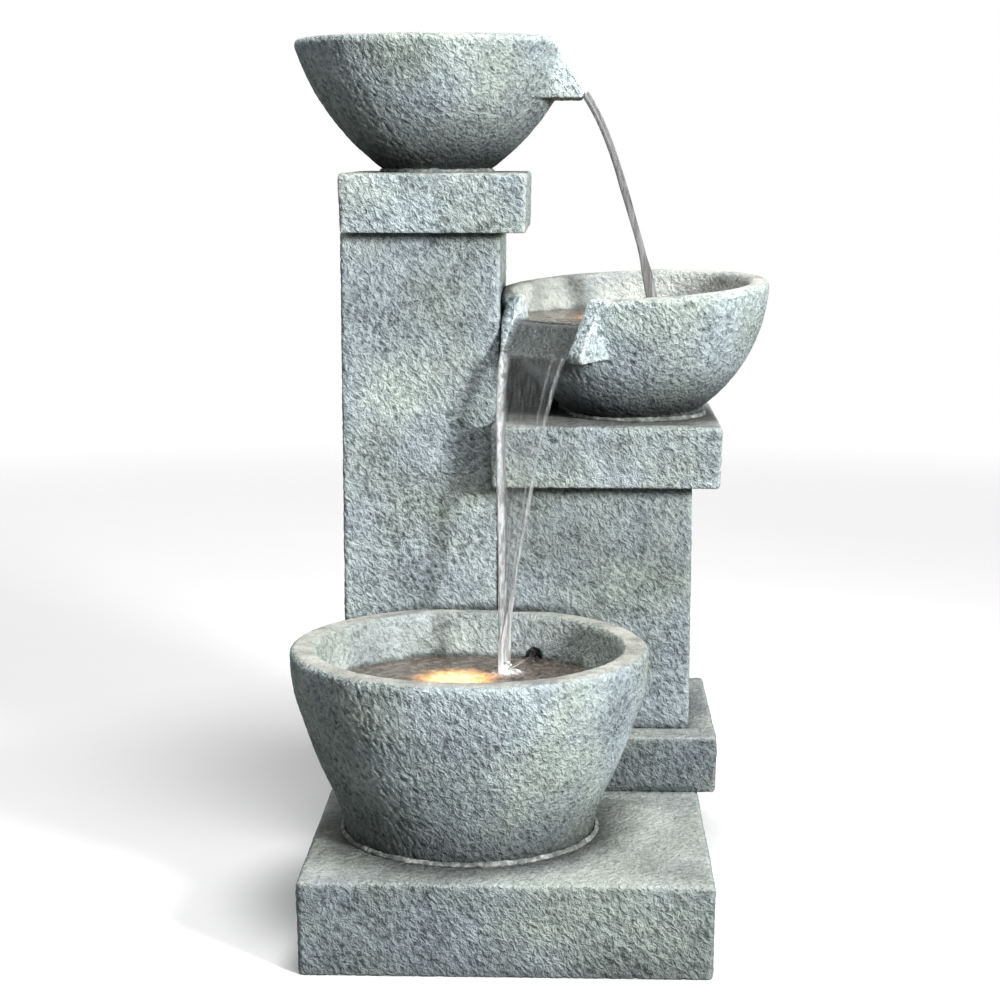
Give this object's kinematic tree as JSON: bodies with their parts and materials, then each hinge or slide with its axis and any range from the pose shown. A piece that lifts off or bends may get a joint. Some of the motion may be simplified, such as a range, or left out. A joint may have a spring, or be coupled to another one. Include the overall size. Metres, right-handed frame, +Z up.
{
  "type": "tiered water fountain",
  "caption": "Free-standing cast-stone water fountain with stepped columns, spouted upper bowls and a deep basin, a submersible pump, submerged lamps and a rear hatch.",
  "frame": {"origin": "centre of the bounding box, on the floor", "axes": "+Z up, -Y towards the viewer at the basin's side, +X to the viewer's right"},
  "size_m": [0.4741, 0.543, 0.823],
  "materials": {
    "cast_stone": "rough cast stone with worm-like relief, grey-green with pale dry-brushed highlights",
    "mortar": "pale sealing mortar",
    "pump_plastic": "black moulded plastic",
    "dial_plastic": "blue moulded plastic",
    "fitting_plastic": "dark grey moulded plastic",
    "impeller_plastic": "white moulded plastic",
    "magnet": "sintered ferrite",
    "steel": "stainless steel",
    "clamp_steel": "spring steel band",
    "rubber": "black rubber",
    "hose": "black soft PVC hose",
    "lead_jacket": "black lead jacket",
    "lamp_plastic": "black moulded plastic",
    "lamp_board": "white board with warm diodes",
    "lamp_lens": "clear warm lens"
  },
  "bodies": {
    "fountain": {"plinth": "cast_stone", "foot_slab": "cast_stone", "tall_column": "cast_stone", "tall_column_cap": "cast_stone", "short_column": "cast_stone", "short_column_back": "cast_stone", "short_column_cap": "cast_stone", "bowl_support": "cast_stone", "basin": "cast_stone", "middle_bowl": "cast_stone", "top_bowl": "cast_stone", "basin_bead": "mortar", "middle_bowl_bead": "mortar", "top_bowl_bead": "mortar", "pump_housing": "pump_plastic", "pump_nozzle": "fitting_plastic", "wall_fitting": "fitting_plastic", "wall_fitting_nut": "fitting_plastic", "bowl_inlet": "fitting_plastic", "bowl_inlet_nut": "fitting_plastic", "middle_lamp_gland": "fitting_plastic", "middle_lamp_gland_nut": "fitting_plastic", "junction_box": "fitting_plastic", "junction_box_lid": "fitting_plastic", "cable_gland": "fitting_plastic", "gland_lock_nut": "fitting_plastic", "gland_cap_nut": "fitting_plastic", "impeller_shaft": "steel", "strike_discs": "steel", "lid_screws": "steel", "hose_clamps": "clamp_steel", "pump_feet": "rubber", "rear_shaft_bush": "rubber", "wall_fitting_gasket": "rubber", "bowl_inlet_gasket": "rubber", "lead_grommet": "rubber", "basin_hose": "hose", "riser_hose": "hose", "basin_lamp_lead": "lead_jacket", "pump_lead": "lead_jacket", "middle_lamp_lead": "lead_jacket", "basin_lamp_body": "lamp_plastic", "basin_lamp_ring": "lamp_plastic", "middle_lamp_body": "lamp_plastic", "middle_lamp_ring": "lamp_plastic", "basin_lamp_board": "lamp_board", "middle_lamp_board": "lamp_board", "basin_lamp_lens": "lamp_lens", "middle_lamp_lens": "lamp_lens"},
    "pump_front": {"chamber_cover": "pump_plastic", "front_shaft_bush": "rubber", "intake_strainer": "pump_plastic"},
    "flow_dial": {"flow_dial": "dial_plastic"},
    "rotor": {"impeller": "impeller_plastic", "rotor_magnet": "magnet"},
    "access_cover": {"access_cover": "cast_stone", "cover_magnets": "magnet"}
  },
  "joints": [
    {"name": "rotor_spin", "type": "hinge", "parent": "fountain", "child": "rotor", "pos_m": [0.004, -0.072, 0.128], "axis": [0, 1, 0], "continuous": true},
    {"name": "pump_front_pull", "type": "slide", "parent": "fountain", "child": "pump_front", "axis": [0, -1, 0], "range_m": [0, 0.04]},
    {"name": "flow_dial_turn", "type": "hinge", "parent": "pump_front", "child": "flow_dial", "pos_m": [0.004, -0.118, 0.128], "axis": [0, -1, 0], "range_deg": [0, 90]},
    {"name": "cover_pull", "type": "slide", "parent": "fountain", "child": "access_cover", "axis": [0, 1, 0], "range_m": [0, 0.06]}
  ]
}
